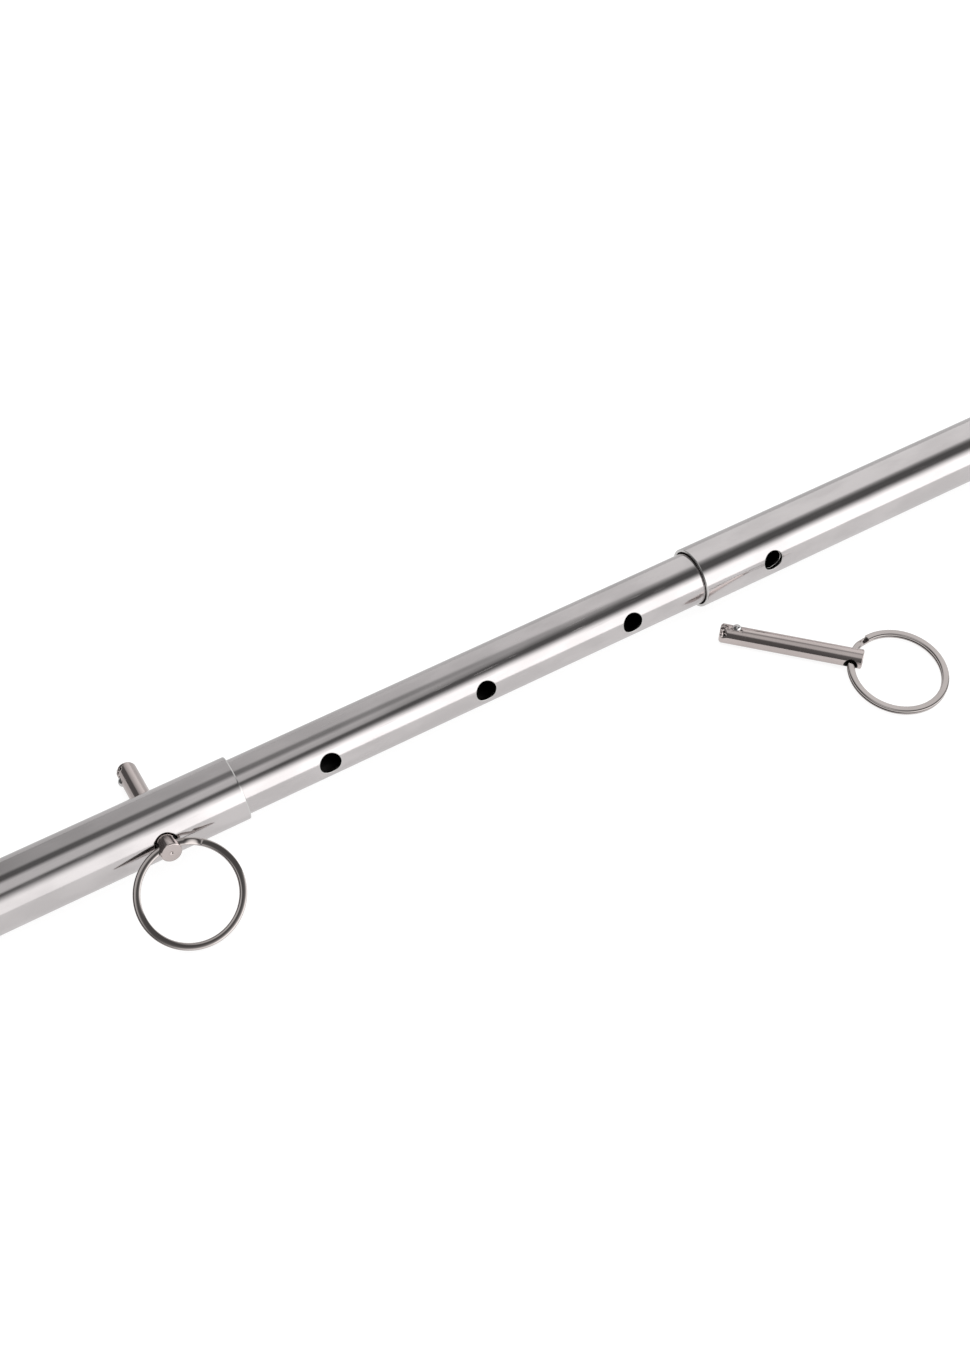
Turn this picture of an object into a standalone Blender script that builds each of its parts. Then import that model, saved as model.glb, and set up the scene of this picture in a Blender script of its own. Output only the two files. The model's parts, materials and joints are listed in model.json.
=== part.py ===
"""Telescopic spreader bar: an inner tube carries two outer tubes, and ball-detent pins lock them.

Metres, +Z up. The bar lies along X on the surface Z = 0, on the collars of its two end plugs.
The left outer tube is pinned. The right outer tube is free, and its pin lies in front of the bar.
"""

from math import asin, atan2, cos, pi, radians, sin

import bmesh
import bpy
from mathutils import Matrix, Vector

# Tubes
OUTER_DIAMETER = 0.0254
INNER_DIAMETER = 0.022
WALL = 0.0012
RIM_CHAMFER = 0.0003
HOLE_PITCH = 0.067
HOLE_COUNT = 5
HOLE_DIAMETER = 0.0086
HOLE_TO_MOUTH = 0.0325
HOLE_TO_INNER_END = 0.024
OUTER_LENGTH = 0.281
TUBE_SIDES = 36

# Play between pieces, and how far a cutter runs past the surface it opens
GAP = 0.0003
CUT_PAST = 0.001

# Where the bar lies
BAR_Y = 0.0279
PIN_TILT = radians(18.0)

# Ball-detent pins
PIN_DIAMETER = 0.008
PIN_LENGTH = 0.058
PIN_HEAD_REACH = 0.01865
HEAD_CHAMFER = 0.0004
TIP_CHAMFER = 0.0008
DIMPLE_RADIUS = 0.0007
CROSS_HOLE_DIAMETER = 0.005
CROSS_HOLE_FLARE = 0.0004
CROSS_HOLE_TO_END = 0.0044
BALL_RADIUS = 0.002
BALL_STANDS_OUT = 0.001
BALL_TO_TIP = 0.0065
BALL_BORE_RADIUS = 0.00225
BALL_BORE_FLOOR = -0.0031
PIN_SIDES = 24
DRILL_SIDES = 20
BALL_SEGMENTS = 16
BALL_RINGS = 10

# Detent springs
SPRING_RADIUS = 0.0012
SPRING_WIRE = 0.0004
SPRING_TURNS = 3
SPRING_POINTS_PER_TURN = 9

# Loose pin, lying in front of the bar
LOOSE_TIP_X = 0.1023
LOOSE_TIP_FRONT = 0.0222
LOOSE_PIN_HEADING = radians(-44.2)
LOOSE_PIN_ROLL = radians(6.0)
LOOSE_BALL_TURN = radians(63.0)
LOOSE_RING_YAW = radians(-5.0)

# Split rings: two flat turns of wire
RING_MEAN_RADIUS = 0.0191
RING_WIRE_WIDTH = 0.0023
RING_WIRE_THICKNESS = 0.00115
RING_TURN_GAP = 0.0001
RING_CORNER = 0.0003
RING_STEP_ANGLE = radians(16.0)
RING_END_GAP = radians(2.5)
RING_STEP_FROM_HOLE = radians(26.0)
RING_POINTS = 62

# End plugs, held by two rivets each
COLLAR_DIAMETER = 0.032
COLLAR_THICKNESS = 0.0064
COLLAR_CHAMFER = 0.0008
WASHER_SEAT_DIAMETER = 0.0168
WASHER_SEAT_DEPTH = 0.0004
SPIGOT_DIAMETER = 0.0224
SPIGOT_LENGTH = 0.026
PLUG_BORE_DIAMETER = 0.0088
COUNTERBORE_DIAMETER = 0.018
COUNTERBORE_DEPTH = 0.013
RIVET_SHANK = 0.004
RIVET_HOLE = 0.0046
RIVET_HEAD = 0.007
RIVET_HEAD_HEIGHT = 0.0014
RIVET_SEAT = 0.01295
RIVET_DEPTH = 0.0052
RIVET_FROM_END = 0.0075
DOME_STEPS = 5

# Swivel eye bolts, washers, nuts and end rings
SHANK_DIAMETER = 0.008
SHOULDER_DIAMETER = 0.015
SHOULDER_THICKNESS = 0.0022
EYE_RADIUS = 0.0105
EYE_THICKNESS = 0.006
EYE_HOLE_DIAMETER = 0.0095
EYE_FROM_SHOULDER = 0.0125
WASHER_DIAMETER = 0.016
WASHER_THICKNESS = 0.0012
WASHER_BORE = 0.0086
NUT_FLATS = 0.013
NUT_HEIGHT = 0.0065
NUT_CHAMFER = 0.0006
END_RING_RADIUS = 0.0175
END_RING_WIRE = 0.005
END_RING_SEGMENTS = 32
END_RING_SIDES = 10

BAR_Z = COLLAR_DIAMETER / 2
PINNED_X = HOLE_PITCH * (HOLE_COUNT - 1) / 2
MOUTH_X = PINNED_X - HOLE_TO_MOUTH
TUBE_END_X = MOUTH_X + OUTER_LENGTH
X_AXIS = Vector((1, 0, 0))
Z_AXIS = Vector((0, 0, 1))
PIN_AXIS = Vector((0, -cos(PIN_TILT), sin(PIN_TILT)))

# Colour and roughness of each finish
MATERIALS = {
    "outer_tube_steel": ((0.66, 0.65, 0.65), 0.22),
    "inner_tube_steel": ((0.64, 0.63, 0.63), 0.24),
    "pin_steel": ((0.62, 0.58, 0.57), 0.28),
    "ball_steel": ((0.72, 0.72, 0.73), 0.12),
    "spring_wire": ((0.45, 0.45, 0.47), 0.35),
    "ring_wire": ((0.60, 0.57, 0.55), 0.20),
    "end_steel": ((0.60, 0.60, 0.61), 0.30),
    "end_ring_steel": ((0.63, 0.63, 0.64), 0.18),
    "fastener_steel": ((0.56, 0.56, 0.58), 0.35),
}


def clear_scene():
    for obj in list(bpy.data.objects):
        bpy.data.objects.remove(obj, do_unlink=True)


def new_collection(name):
    collection = bpy.data.collections.new(name)
    bpy.context.scene.collection.children.link(collection)
    return collection


def new_material(name):
    colour, roughness = MATERIALS[name]
    material = bpy.data.materials.new(name)
    material.use_nodes = True
    shader = material.node_tree.nodes["Principled BSDF"]
    shader.inputs["Base Color"].default_value = (*colour, 1.0)
    shader.inputs["Roughness"].default_value = roughness
    shader.inputs["Metallic"].default_value = 1.0
    material.diffuse_color = (*colour, 1.0)
    return material


def frame_of(origin, axis, side):
    """The placement whose local Z runs along axis and whose local X is as near side as it can be."""
    z = axis.normalized()
    x = (side - side.dot(z) * z).normalized()
    y = z.cross(x)
    placed = Matrix((x, y, z)).transposed().to_4x4()
    placed.translation = origin
    return placed


def add_object(name, data, placement, home):
    obj = bpy.data.objects.new(name, data)
    home.objects.link(obj)
    obj.matrix_world = placement
    return obj


def finish(obj, material):
    obj.data.materials.clear()
    obj.data.materials.append(bpy.data.materials[material])
    return obj


def turned(name, profile, placement, home, sides, closed=False):
    """A profile of (radius, height) points, top to bottom down the outside, turned about local Z."""
    mesh = bpy.data.meshes.new(name)
    points = [(radius, 0.0, height) for radius, height in profile]
    edges = [(i, i + 1) for i in range(len(points) - 1)]
    if closed:
        edges.append((len(points) - 1, 0))
    mesh.from_pydata(points, edges, [])
    obj = add_object(name, mesh, placement, home)
    screw = obj.modifiers.new("turn", "SCREW")
    screw.steps = sides
    screw.render_steps = sides
    screw.use_merge_vertices = True
    screw.merge_threshold = 1e-6
    screw.use_smooth_shade = True
    return obj


def drill(name, radius, length, placement, home):
    """A cylinder along local Z, used as a cutter."""
    mesh = bpy.data.meshes.new(name)
    shape = bmesh.new()
    bmesh.ops.create_cone(
        shape, cap_ends=True, segments=DRILL_SIDES, radius1=radius, radius2=radius, depth=length
    )
    shape.to_mesh(mesh)
    shape.free()
    return hide_cutter(add_object(name, mesh, placement, home))


def hide_cutter(obj):
    obj.hide_render = True
    obj.display_type = "WIRE"
    return obj


def cut(obj, cutter):
    boolean = obj.modifiers.new("cut " + cutter.name, "BOOLEAN")
    boolean.operation = "DIFFERENCE"
    boolean.solver = "EXACT"
    boolean.object = cutter
    return obj


def join(obj, other):
    boolean = obj.modifiers.new("join " + other.name, "BOOLEAN")
    boolean.operation = "UNION"
    boolean.solver = "EXACT"
    boolean.object = hide_cutter(other)
    return obj


def on_bar(x):
    return Vector((x, BAR_Y, BAR_Z))


def tube(name, diameter, start_x, end_x, material, home):
    outer = diameter / 2
    inner = outer - WALL
    length = end_x - start_x
    profile = [
        (inner + RIM_CHAMFER, length),
        (outer - RIM_CHAMFER, length),
        (outer, length - RIM_CHAMFER),
        (outer, RIM_CHAMFER),
        (outer - RIM_CHAMFER, 0),
        (inner + RIM_CHAMFER, 0),
        (inner, RIM_CHAMFER),
        (inner, length - RIM_CHAMFER),
    ]
    place = frame_of(on_bar(start_x), X_AXIS, Z_AXIS)
    return finish(turned(name, profile, place, home, TUBE_SIDES, closed=True), material)


def build_tubes(home, cutters):
    inner_end = PINNED_X + HOLE_TO_INNER_END
    inner = tube("inner_tube", INNER_DIAMETER, -inner_end, inner_end, "inner_tube_steel", home)
    left = tube(
        "left_outer_tube", OUTER_DIAMETER, -TUBE_END_X, -MOUTH_X, "outer_tube_steel", home
    )
    right = tube("right_outer_tube", OUTER_DIAMETER, MOUTH_X, TUBE_END_X, "outer_tube_steel", home)
    for index in range(HOLE_COUNT):
        x = -PINNED_X + index * HOLE_PITCH
        place = frame_of(on_bar(x), PIN_AXIS, X_AXIS)
        pin_drill = drill(f"pin_drill_{index}", HOLE_DIAMETER / 2, 2 * OUTER_DIAMETER, place, cutters)
        cut(inner, pin_drill)
        if index == 0:
            cut(left, pin_drill)
        if index == HOLE_COUNT - 1:
            cut(right, pin_drill)
    return {-1: left, 1: right}


def pin_body(name, place, ball_angle, home, cutters):
    """A pin along local Z, head up, with its cross hole along local X. Its tip is at the local origin."""
    radius = PIN_DIAMETER / 2
    profile = [
        (0, PIN_LENGTH - DIMPLE_RADIUS),
        (DIMPLE_RADIUS, PIN_LENGTH),
        (radius - HEAD_CHAMFER, PIN_LENGTH),
        (radius, PIN_LENGTH - HEAD_CHAMFER),
        (radius, TIP_CHAMFER),
        (radius - TIP_CHAMFER, 0),
        (0, 0),
    ]
    body = turned(name, profile, place, home, PIN_SIDES)
    hole = Matrix.Translation((0, 0, PIN_LENGTH - CROSS_HOLE_TO_END)) @ Matrix.Rotation(pi / 2, 4, "Y")
    cut(body, cross_hole_cutter(name + "_cross_hole", place @ hole, cutters))
    bore_length = PIN_DIAMETER
    middle = BALL_BORE_FLOOR + bore_length / 2
    bore = ball_frame(ball_angle) @ Matrix.Translation((0, 0, middle))
    cut(body, drill(name + "_ball_bore", BALL_BORE_RADIUS, bore_length, place @ bore, cutters))
    return finish(body, "pin_steel")


def cross_hole_cutter(name, place, cutters):
    """A drill whose ends widen at 45 degrees where they leave the pin."""
    radius = CROSS_HOLE_DIAMETER / 2
    flare_start = PIN_DIAMETER / 2 - CROSS_HOLE_FLARE
    reach = PIN_DIAMETER / 2 + CUT_PAST
    flared = radius + reach - flare_start
    profile = [
        (0, reach),
        (flared, reach),
        (radius, flare_start),
        (radius, -flare_start),
        (flared, -reach),
        (0, -reach),
    ]
    return hide_cutter(turned(name, profile, place, cutters, PIN_SIDES))


def ball_frame(ball_angle):
    """The ball's place on a pin, with local Z pointing out through the ball."""
    outward = Vector((cos(ball_angle), sin(ball_angle), 0))
    return frame_of(Vector((0, 0, BALL_TO_TIP)), outward, Z_AXIS)


def detent(prefix, place, ball_angle, home):
    """The ball and the spring behind it."""
    outward = place @ ball_frame(ball_angle)
    centre = PIN_DIAMETER / 2 + BALL_STANDS_OUT - BALL_RADIUS
    mesh = bpy.data.meshes.new(prefix + "_detent_ball")
    shape = bmesh.new()
    bmesh.ops.create_uvsphere(
        shape, u_segments=BALL_SEGMENTS, v_segments=BALL_RINGS, radius=BALL_RADIUS
    )
    shape.to_mesh(mesh)
    shape.free()
    mesh.shade_smooth()
    ball_place = outward @ Matrix.Translation((0, 0, centre))
    finish(add_object(prefix + "_detent_ball", mesh, ball_place, home), "ball_steel")
    bottom = BALL_BORE_FLOOR + SPRING_WIRE / 2 + GAP
    top = centre - BALL_RADIUS - SPRING_WIRE / 2 - GAP / 2
    coil = []
    steps = SPRING_POINTS_PER_TURN * SPRING_TURNS
    for step in range(steps + 1):
        angle = 2 * pi * SPRING_TURNS * step / steps
        height = bottom + (top - bottom) * step / steps
        coil.append((SPRING_RADIUS * cos(angle), SPRING_RADIUS * sin(angle), height))
    spring = wire(prefix + "_detent_spring", coil, SPRING_WIRE / 2, outward, home)
    finish(spring, "spring_wire")


def wire(name, points, radius, place, home):
    """An open wire with closed ends through the points."""
    curve = bpy.data.curves.new(name, "CURVE")
    curve.dimensions = "3D"
    curve.bevel_depth = radius
    curve.bevel_resolution = 0
    curve.use_fill_caps = True
    spline = curve.splines.new("POLY")
    spline.points.add(len(points) - 1)
    for point, co in zip(spline.points, points):
        point.co = (*co, 1)
    return add_object(name, curve, place, home)


def ring_section(cutters):
    """The outline of the flat ring wire, with its corners cut off. Both rings share it."""
    half_width = RING_WIRE_WIDTH / 2
    half_height = RING_WIRE_THICKNESS / 2
    corners = []
    for sign_x, sign_y in ((1, 1), (1, -1), (-1, -1), (-1, 1)):
        along = (sign_x * half_width, sign_y * (half_height - RING_CORNER))
        across = (sign_x * (half_width - RING_CORNER), sign_y * half_height)
        corners += [across, along] if sign_x == sign_y else [along, across]
    curve = bpy.data.curves.new("ring_section", "CURVE")
    curve.dimensions = "2D"
    curve.fill_mode = "NONE"
    spline = curve.splines.new("POLY")
    spline.points.add(len(corners) - 1)
    for point, (x, y) in zip(spline.points, corners):
        point.co = (x, y, 0, 1)
    spline.use_cyclic_u = True
    return hide_cutter(add_object("ring_section", curve, Matrix(), cutters))


def split_ring(name, place, section, home):
    """Two flat turns about local Z. The hole it hangs in is at the local origin, and local Y is its tangent.

    The turns lie half a pitch below and above the ring's plane. Over the step, one strand climbs
    from the lower level to the upper one, and the wire's two ends stop on either side of it.
    """
    pitch = RING_WIRE_THICKNESS + RING_TURN_GAP
    step_at = pi - RING_STEP_FROM_HOLE
    free = RING_STEP_ANGLE / 2 + RING_END_GAP
    first = free
    last = 4 * pi - free
    points = []
    for index in range(RING_POINTS):
        turn = first + (last - first) * index / (RING_POINTS - 1)
        climb = (turn - 2 * pi) / RING_STEP_ANGLE + 0.5
        climb = min(max(climb, 0.0), 1.0)
        climb = climb * climb * (3 - 2 * climb)
        angle = turn + step_at
        x = RING_MEAN_RADIUS * (1 + cos(angle))
        y = RING_MEAN_RADIUS * sin(angle)
        points.append((x, y, pitch * (climb - 0.5)))
    ring = wire(name, points, 0.0, place, home)
    ring.data.bevel_mode = "OBJECT"
    ring.data.bevel_object = section
    ring.data.twist_mode = "Z_UP"
    return finish(ring, "ring_wire")


def ring_drop(hole_height, half_thickness, reach):
    """How far below level a ring leans when its far edge rests on Z = 0."""
    return asin(hole_height / (reach**2 + half_thickness**2) ** 0.5) - atan2(half_thickness, reach)


def ring_frame(hole, outward, drop, yaw):
    """Local X runs from the hole to the ring's centre, and local Z is the ring's upper side."""
    level = Vector((outward.x, outward.y, 0)).normalized()
    heading = Matrix.Rotation(yaw, 3, "Z") @ level
    toward = cos(drop) * heading - sin(drop) * Z_AXIS
    side = Z_AXIS.cross(heading)
    return frame_of(hole, toward.cross(side), toward)


def build_pin(prefix, place, ball_angle, ring_yaw, section, home, cutters):
    pin_body(prefix + "_pin", place, ball_angle, home, cutters)
    detent(prefix, place, ball_angle, home)
    axis = place.to_3x3() @ Z_AXIS
    hole = place @ Vector((0, 0, PIN_LENGTH - CROSS_HOLE_TO_END))
    reach = 2 * RING_MEAN_RADIUS + RING_WIRE_WIDTH / 2
    drop = ring_drop(hole.z, RING_WIRE_THICKNESS + RING_TURN_GAP, reach)
    split_ring(prefix + "_split_ring", ring_frame(hole, axis, drop, ring_yaw), section, home)


def build_pins(home, cutters):
    section = ring_section(cutters)
    tip = on_bar(-PINNED_X) + (PIN_HEAD_REACH - PIN_LENGTH) * PIN_AXIS
    build_pin("left", frame_of(tip, PIN_AXIS, X_AXIS), pi, 0.0, section, home, cutters)
    heading = Vector((cos(LOOSE_PIN_HEADING), sin(LOOSE_PIN_HEADING), 0))
    tip = Vector((LOOSE_TIP_X, BAR_Y - LOOSE_TIP_FRONT, PIN_DIAMETER / 2))
    place = frame_of(tip, heading, Z_AXIS.cross(heading))
    place = place @ Matrix.Rotation(LOOSE_PIN_ROLL, 4, "Z")
    build_pin("loose", place, LOOSE_BALL_TURN, LOOSE_RING_YAW, section, home, cutters)


def end_frame(side):
    """The outer end of a tube, with local Z pointing out along the bar and local X up."""
    return frame_of(on_bar(side * TUBE_END_X), side * X_AXIS, Z_AXIS)


def end_plug(name, place, home):
    collar = COLLAR_DIAMETER / 2
    spigot = SPIGOT_DIAMETER / 2
    bore = PLUG_BORE_DIAMETER / 2
    counterbore = COUNTERBORE_DIAMETER / 2
    seat = WASHER_SEAT_DIAMETER / 2
    face = GAP + COLLAR_THICKNESS
    foot = -SPIGOT_LENGTH
    profile = [
        (bore, face - WASHER_SEAT_DEPTH),
        (seat, face - WASHER_SEAT_DEPTH),
        (seat, face),
        (collar - COLLAR_CHAMFER, face),
        (collar, face - COLLAR_CHAMFER),
        (collar, GAP + COLLAR_CHAMFER),
        (collar - COLLAR_CHAMFER, GAP),
        (spigot, GAP),
        (spigot, foot + COLLAR_CHAMFER),
        (spigot - COLLAR_CHAMFER, foot),
        (counterbore, foot),
        (counterbore, foot + COUNTERBORE_DEPTH),
        (bore, foot + COUNTERBORE_DEPTH),
    ]
    return finish(turned(name, profile, place, home, TUBE_SIDES, closed=True), "end_steel")


def rivet(name, place, home):
    """A round-headed rivet along local Z, with its head's flat underside at the local origin."""
    head = RIVET_HEAD / 2
    shank = RIVET_SHANK / 2
    profile = [(0, RIVET_HEAD_HEIGHT)]
    for index in range(1, DOME_STEPS):
        angle = pi / 2 * (1 - index / DOME_STEPS)
        profile.append((head * cos(angle), RIVET_HEAD_HEIGHT * sin(angle)))
    profile += [(head, 0), (shank, 0), (shank, -RIVET_DEPTH), (0, -RIVET_DEPTH)]
    return finish(turned(name, profile, place, home, PIN_SIDES), "fastener_steel")


def washer(name, place, home):
    outer = WASHER_DIAMETER / 2
    bore = WASHER_BORE / 2
    profile = [(bore, WASHER_THICKNESS), (outer, WASHER_THICKNESS), (outer, 0), (bore, 0)]
    return finish(turned(name, profile, place, home, PIN_SIDES, closed=True), "fastener_steel")


def lock_nut(name, place, home, cutters):
    """A hexagon nut along local Z from the local origin, with its corners turned off at both ends."""
    mesh = bpy.data.meshes.new(name)
    shape = bmesh.new()
    corner = NUT_FLATS / 2 / cos(pi / 6)
    lift = Matrix.Translation((0, 0, NUT_HEIGHT / 2))
    bmesh.ops.create_cone(
        shape, cap_ends=True, segments=6, radius1=corner, radius2=corner, depth=NUT_HEIGHT, matrix=lift
    )
    rims = [edge for edge in shape.edges if abs(edge.verts[0].co.z - edge.verts[1].co.z) < GAP]
    bmesh.ops.bevel(
        shape, geom=rims, offset=NUT_CHAMFER, segments=1, affect="EDGES", offset_type="OFFSET"
    )
    shape.to_mesh(mesh)
    shape.free()
    nut = add_object(name, mesh, place, home)
    cut(nut, drill(name + "_bore", WASHER_BORE / 2, 3 * NUT_HEIGHT, place, cutters))
    return finish(nut, "fastener_steel")


def swivel_eye(name, place, shank_foot, home, cutters):
    """A turned shank with a shoulder at the local origin, and a flat eye beyond it."""
    shank = SHANK_DIAMETER / 2
    shoulder = SHOULDER_DIAMETER / 2
    neck = EYE_THICKNESS / 2
    profile = [
        (0, EYE_FROM_SHOULDER - EYE_HOLE_DIAMETER / 2 - GAP),
        (neck, EYE_FROM_SHOULDER - EYE_HOLE_DIAMETER / 2 - GAP),
        (neck, SHOULDER_THICKNESS),
        (shoulder, SHOULDER_THICKNESS),
        (shoulder, 0),
        (shank, 0),
        (shank, shank_foot),
        (0, shank_foot),
    ]
    body = turned(name, profile, place, home, PIN_SIDES)
    centre = place @ Matrix.Translation((0, 0, EYE_FROM_SHOULDER)) @ Matrix.Rotation(pi / 2, 4, "X")
    join(body, drill(name + "_disc", EYE_RADIUS, EYE_THICKNESS, centre, cutters))
    cut(body, drill(name + "_hole", EYE_HOLE_DIAMETER / 2, 3 * EYE_THICKNESS, centre, cutters))
    return finish(body, "end_steel")


def end_ring(name, hole, outward, home):
    """A welded round ring that hangs in the eye, with its far edge resting on Z = 0."""
    wire_radius = END_RING_WIRE / 2
    drop = asin((hole.z - wire_radius) / (2 * END_RING_RADIUS))
    place = ring_frame(hole, outward, drop, 0.0) @ Matrix.Translation((END_RING_RADIUS, 0, 0))
    bpy.ops.mesh.primitive_torus_add(
        major_segments=END_RING_SEGMENTS,
        minor_segments=END_RING_SIDES,
        major_radius=END_RING_RADIUS,
        minor_radius=wire_radius,
    )
    ring = bpy.context.object
    ring.name = name
    ring.data.name = name
    for collection in list(ring.users_collection):
        collection.objects.unlink(ring)
    home.objects.link(ring)
    ring.matrix_world = place
    ring.data.shade_smooth()
    return finish(ring, "end_ring_steel")


def build_end(side, tube_object, home, cutters):
    """One end of the bar: the plug, its rivets, the swivel eye with its washers and nut, and the ring."""
    prefix = "left" if side < 0 else "right"
    place = end_frame(side)
    plug = end_plug(prefix + "_end_plug", place, home)
    for where, up in (("top", 1), ("bottom", -1)):
        seat = on_bar(side * (TUBE_END_X - RIVET_FROM_END)) + up * RIVET_SEAT * Z_AXIS
        rivet_place = frame_of(seat, up * Z_AXIS, X_AXIS)
        depth = 2 * (RIVET_DEPTH + GAP)
        rivet_drill = drill(f"{prefix}_{where}_rivet_drill", RIVET_HOLE / 2, depth, rivet_place, cutters)
        cut(plug, rivet_drill)
        cut(tube_object, rivet_drill)
        rivet(f"{prefix}_{where}_rivet", rivet_place, home)
    washer_foot = 2 * GAP + COLLAR_THICKNESS - WASHER_SEAT_DEPTH
    washer(prefix + "_thrust_washer", place @ Matrix.Translation((0, 0, washer_foot)), home)
    shoulder = washer_foot + WASHER_THICKNESS + GAP
    seat = COUNTERBORE_DEPTH - SPIGOT_LENGTH
    washer_at = seat - GAP - WASHER_THICKNESS
    washer(prefix + "_inner_washer", place @ Matrix.Translation((0, 0, washer_at)), home)
    nut_at = washer_at - GAP - NUT_HEIGHT
    nut_place = place @ Matrix.Translation((0, 0, nut_at))
    lock_nut(prefix + "_lock_nut", nut_place, home, cutters)
    foot = nut_at - SHOULDER_THICKNESS - shoulder
    swivel_place = place @ Matrix.Translation((0, 0, shoulder))
    swivel_eye(prefix + "_swivel_eye", swivel_place, foot, home, cutters)
    hole = swivel_place @ Vector((0, 0, EYE_FROM_SHOULDER))
    end_ring(prefix + "_end_ring", hole, side * X_AXIS, home)


def main():
    clear_scene()
    home = new_collection("spreader_bar")
    cutters = new_collection("cutters")
    for name in MATERIALS:
        new_material(name)
    tubes = build_tubes(home, cutters)
    build_pins(home, cutters)
    for side, tube_object in tubes.items():
        build_end(side, tube_object, home, cutters)


main()
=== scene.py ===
# %% [markdown]
# # A telescopic spreader bar in polished steel
# An inner tube with a row of cross holes joins two outer tubes. Ball-detent pins lock the tubes
# together, and a split ring on each pin is there to pull it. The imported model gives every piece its
# place. This script builds finer surfaces over it and gives them their finish. All lengths are in
# metres, X runs along the bar and Z is up.

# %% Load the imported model
import json
from collections import namedtuple
from math import asin, atan2, cos, degrees, hypot, pi, radians, sin

import bmesh
import bpy
import numpy as np
from mathutils import Matrix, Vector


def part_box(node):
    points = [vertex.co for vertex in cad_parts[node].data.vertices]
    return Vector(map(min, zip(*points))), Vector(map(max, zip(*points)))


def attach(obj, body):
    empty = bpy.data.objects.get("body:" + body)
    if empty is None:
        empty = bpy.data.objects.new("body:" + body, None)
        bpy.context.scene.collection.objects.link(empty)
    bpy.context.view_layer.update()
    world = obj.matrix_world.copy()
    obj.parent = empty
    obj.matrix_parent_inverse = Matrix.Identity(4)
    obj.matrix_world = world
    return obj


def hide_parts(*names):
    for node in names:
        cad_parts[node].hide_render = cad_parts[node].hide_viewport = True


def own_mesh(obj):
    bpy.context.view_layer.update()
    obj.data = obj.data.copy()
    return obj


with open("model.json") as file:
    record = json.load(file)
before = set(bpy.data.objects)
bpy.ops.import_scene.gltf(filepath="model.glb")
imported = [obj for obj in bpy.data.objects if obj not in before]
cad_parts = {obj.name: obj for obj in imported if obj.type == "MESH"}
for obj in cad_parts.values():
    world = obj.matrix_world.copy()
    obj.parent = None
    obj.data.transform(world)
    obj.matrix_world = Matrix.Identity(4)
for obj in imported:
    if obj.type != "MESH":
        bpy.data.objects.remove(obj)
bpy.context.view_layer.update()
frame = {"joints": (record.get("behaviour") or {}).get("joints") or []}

joints = {joint["name"]: joint for joint in frame["joints"]}
MM = 0.001

# %% [markdown]
# ## Surfaces as grids of numbers
# A turned, drilled or bent metal part is a grid of points: one direction runs along a profile or a
# path, and the other runs round it. Working out whole grids at once is quick and exact, and edges
# get real rounding, which is what catches the light on polished metal. Modelling tools could make
# the same shapes, but a hole drilled through a curved wall would leave a ragged mesh there.

# %% A surface, and how grids become one
Surface = namedtuple("Surface", "points quads grain marks")
# An odd size, so that round numbers never fall between two cells.
WELD = 1.37e-6


def unit(vectors):
    vectors = np.asarray(vectors, float)
    return vectors / np.linalg.norm(vectors, axis=-1, keepdims=True)


def grid(points, edge=0.0, bore=0.0, grain=None, wrap_rows=False, wrap_columns=True, cut=None):
    """Quads over a grid of points. edge and bore mark each row: 1 on a worn edge, 1 inside a hole,
    where a near-black shade is painted.

    cut leaves quads out. grain says where a point lies along and across the piece's own length.
    """
    rows, columns = points.shape[:2]
    index = np.arange(rows * columns).reshape(rows, columns)
    if wrap_rows:
        index = np.vstack([index, index[:1]])
    if wrap_columns:
        index = np.hstack([index, index[:, :1]])
    quads = np.stack([index[:-1, :-1], index[1:, :-1], index[1:, 1:], index[:-1, 1:]], axis=-1)
    quads = quads[~cut] if cut is not None else quads.reshape(-1, 4)
    marks = np.zeros((rows, columns, 2))
    marks[..., 0] = np.reshape(edge, (-1, 1))
    marks[..., 1] = np.reshape(bore, (-1, 1))
    if grain is None:
        grain = points[..., [2, 0, 1]]
    return Surface(points.reshape(-1, 3), quads, grain.reshape(-1, 3), marks.reshape(-1, 2))


def joined(*parts):
    """The parts as one surface, with points that coincide made one, so that shared edges close."""
    starts = np.cumsum([0] + [len(part.points) for part in parts[:-1]])
    points = np.concatenate([part.points for part in parts])
    quads = np.concatenate([part.quads + start for part, start in zip(parts, starts)])
    cells = np.round(points / WELD)
    _, first, index = np.unique(cells, axis=0, return_index=True, return_inverse=True)
    used, corners = np.unique(index.reshape(-1)[quads], return_inverse=True)
    kept = first[used]
    grain = np.concatenate([part.grain for part in parts])[kept]
    marks = np.concatenate([part.marks for part in parts])[kept]
    return Surface(points[kept], corners.reshape(quads.shape), grain, marks)


def placed(surface, origin, axis, side):
    """The surface with local Z turned to axis and local X turned as near side as it can be."""
    z = unit(axis)
    x = unit(np.asarray(side) - np.dot(side, z) * z)
    turn = np.stack([x, np.cross(z, x), z])
    return surface._replace(points=np.asarray(origin) + surface.points @ turn)


# %% Put a surface into a mesh object
def corner_lists(quads):
    """Faces as lists. A quad with two neighbouring corners in one place becomes a triangle."""
    twin = quads == np.roll(quads, -1, axis=1)
    pointed = twin.any(axis=1)
    triangles = quads[pointed][~twin[pointed]].reshape(-1, 3)
    return quads[~pointed].tolist() + triangles.tolist()


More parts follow.
